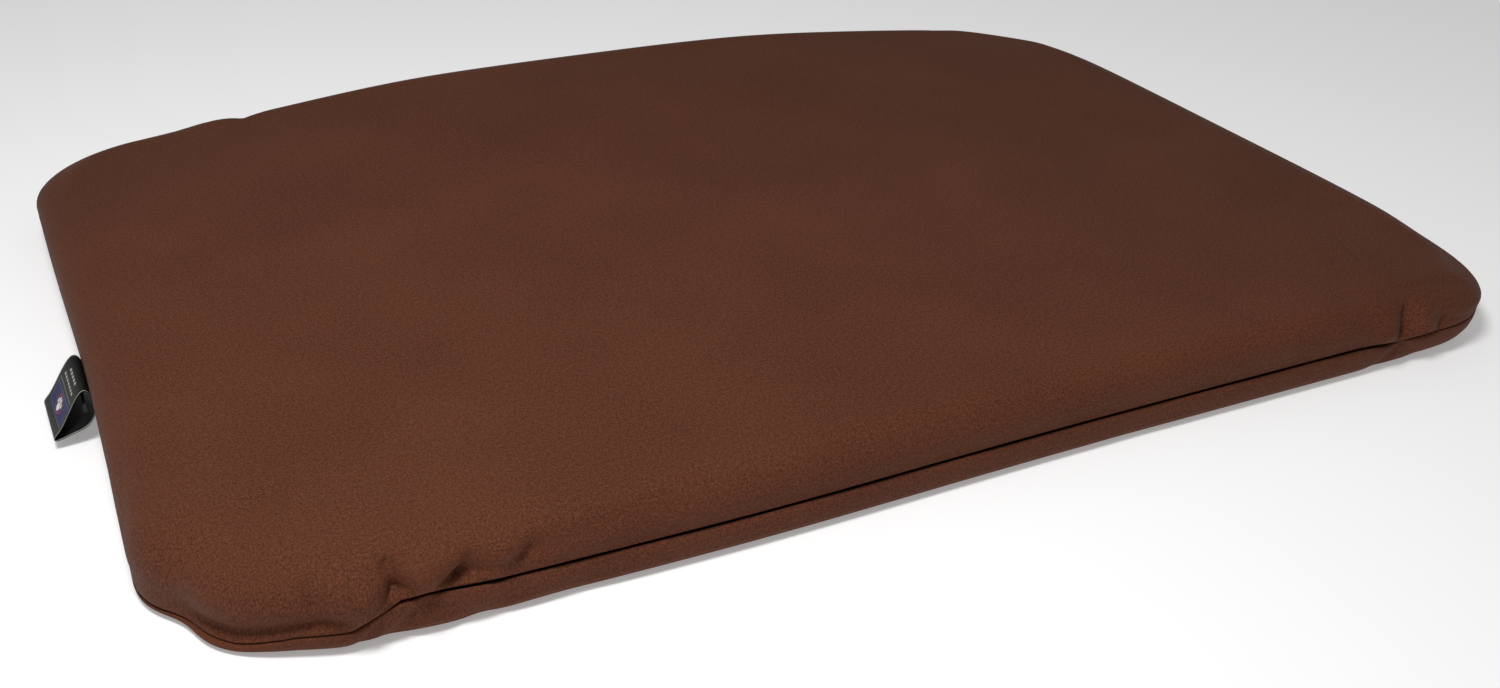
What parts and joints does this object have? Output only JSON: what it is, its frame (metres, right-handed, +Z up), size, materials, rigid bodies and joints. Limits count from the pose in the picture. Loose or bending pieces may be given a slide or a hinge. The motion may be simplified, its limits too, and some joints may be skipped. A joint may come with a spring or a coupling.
{
  "type": "pet cushion bed",
  "caption": "Flat rounded-rectangle pet cushion bed: a padded mat in a dark woven cover with a low perimeter seam, a concealed zip along one long side and a folded side label.",
  "frame": {"origin": "on the floor plane, under the middle of the cushion's rectangle", "axes": "+X along the long way, +Y towards the side opposite the zip, +Z up out of the sleeping surface"},
  "size_m": [0.919, 0.6199, 0.05],
  "materials": {
    "cover_fabric": "fine woven coated polyester, smooth, dull sheen",
    "base_fabric": "the same woven coated polyester on the underside",
    "sewing_thread": "brown polyester sewing thread",
    "zip_tape": "woven zip tape",
    "zip_coil": "nylon coil teeth",
    "slider_metal": "zinc slider painted to match the cover",
    "stop_metal": "pressed metal stops",
    "label_ribbon": "black woven satin ribbon with a plain woven design",
    "liner_cloth": "thin off-white non-woven liner",
    "liner_thread": "white sewing thread",
    "wadding": "bonded polyester wadding",
    "foam": "open-cell polyurethane foam"
  },
  "bodies": {
    "cushion": {"cover_top_panel": "cover_fabric", "cover_bottom_panel": "base_fabric", "seam_thread": "sewing_thread", "zip_tape_upper": "zip_tape", "zip_tape_lower": "zip_tape", "zip_coil_upper": "zip_coil", "zip_coil_lower": "zip_coil", "zip_sewing_upper": "sewing_thread", "zip_sewing_lower": "sewing_thread", "zip_bottom_stop": "stop_metal", "zip_top_stop_upper": "stop_metal", "zip_top_stop_lower": "stop_metal", "zip_bar_tack_left": "sewing_thread", "zip_bar_tack_right": "sewing_thread", "label_tail": "label_ribbon", "liner_top": "liner_cloth", "liner_bottom": "liner_cloth", "liner_seam_thread": "liner_thread", "wadding_top": "wadding", "wadding_bottom": "wadding", "foam_core": "foam"},
    "zip_slider": {"zip_slider_body": "slider_metal"},
    "zip_pull": {"zip_pull_tab": "slider_metal"},
    "label": {"label_loop": "label_ribbon"}
  },
  "joints": [
    {"name": "zip_slide", "type": "slide", "parent": "cushion", "child": "zip_slider", "axis": [-1, 0, 0], "range_m": [0, 0.615], "deforming": ["zip_coil_upper", "zip_coil_lower"]},
    {"name": "pull_swing", "type": "hinge", "parent": "zip_slider", "child": "zip_pull", "pos_m": [0.303, -0.3031, 0.02], "axis": [0, 0, 1], "range_deg": [0, 170]},
    {"name": "label_bend", "type": "hinge", "parent": "cushion", "child": "label", "pos_m": [-0.4506, -0.045, 0.02], "axis": [0, 1, 0], "range_deg": [-8, 25], "stiffness_Nm_per_rad": 0.0005}
  ]
}
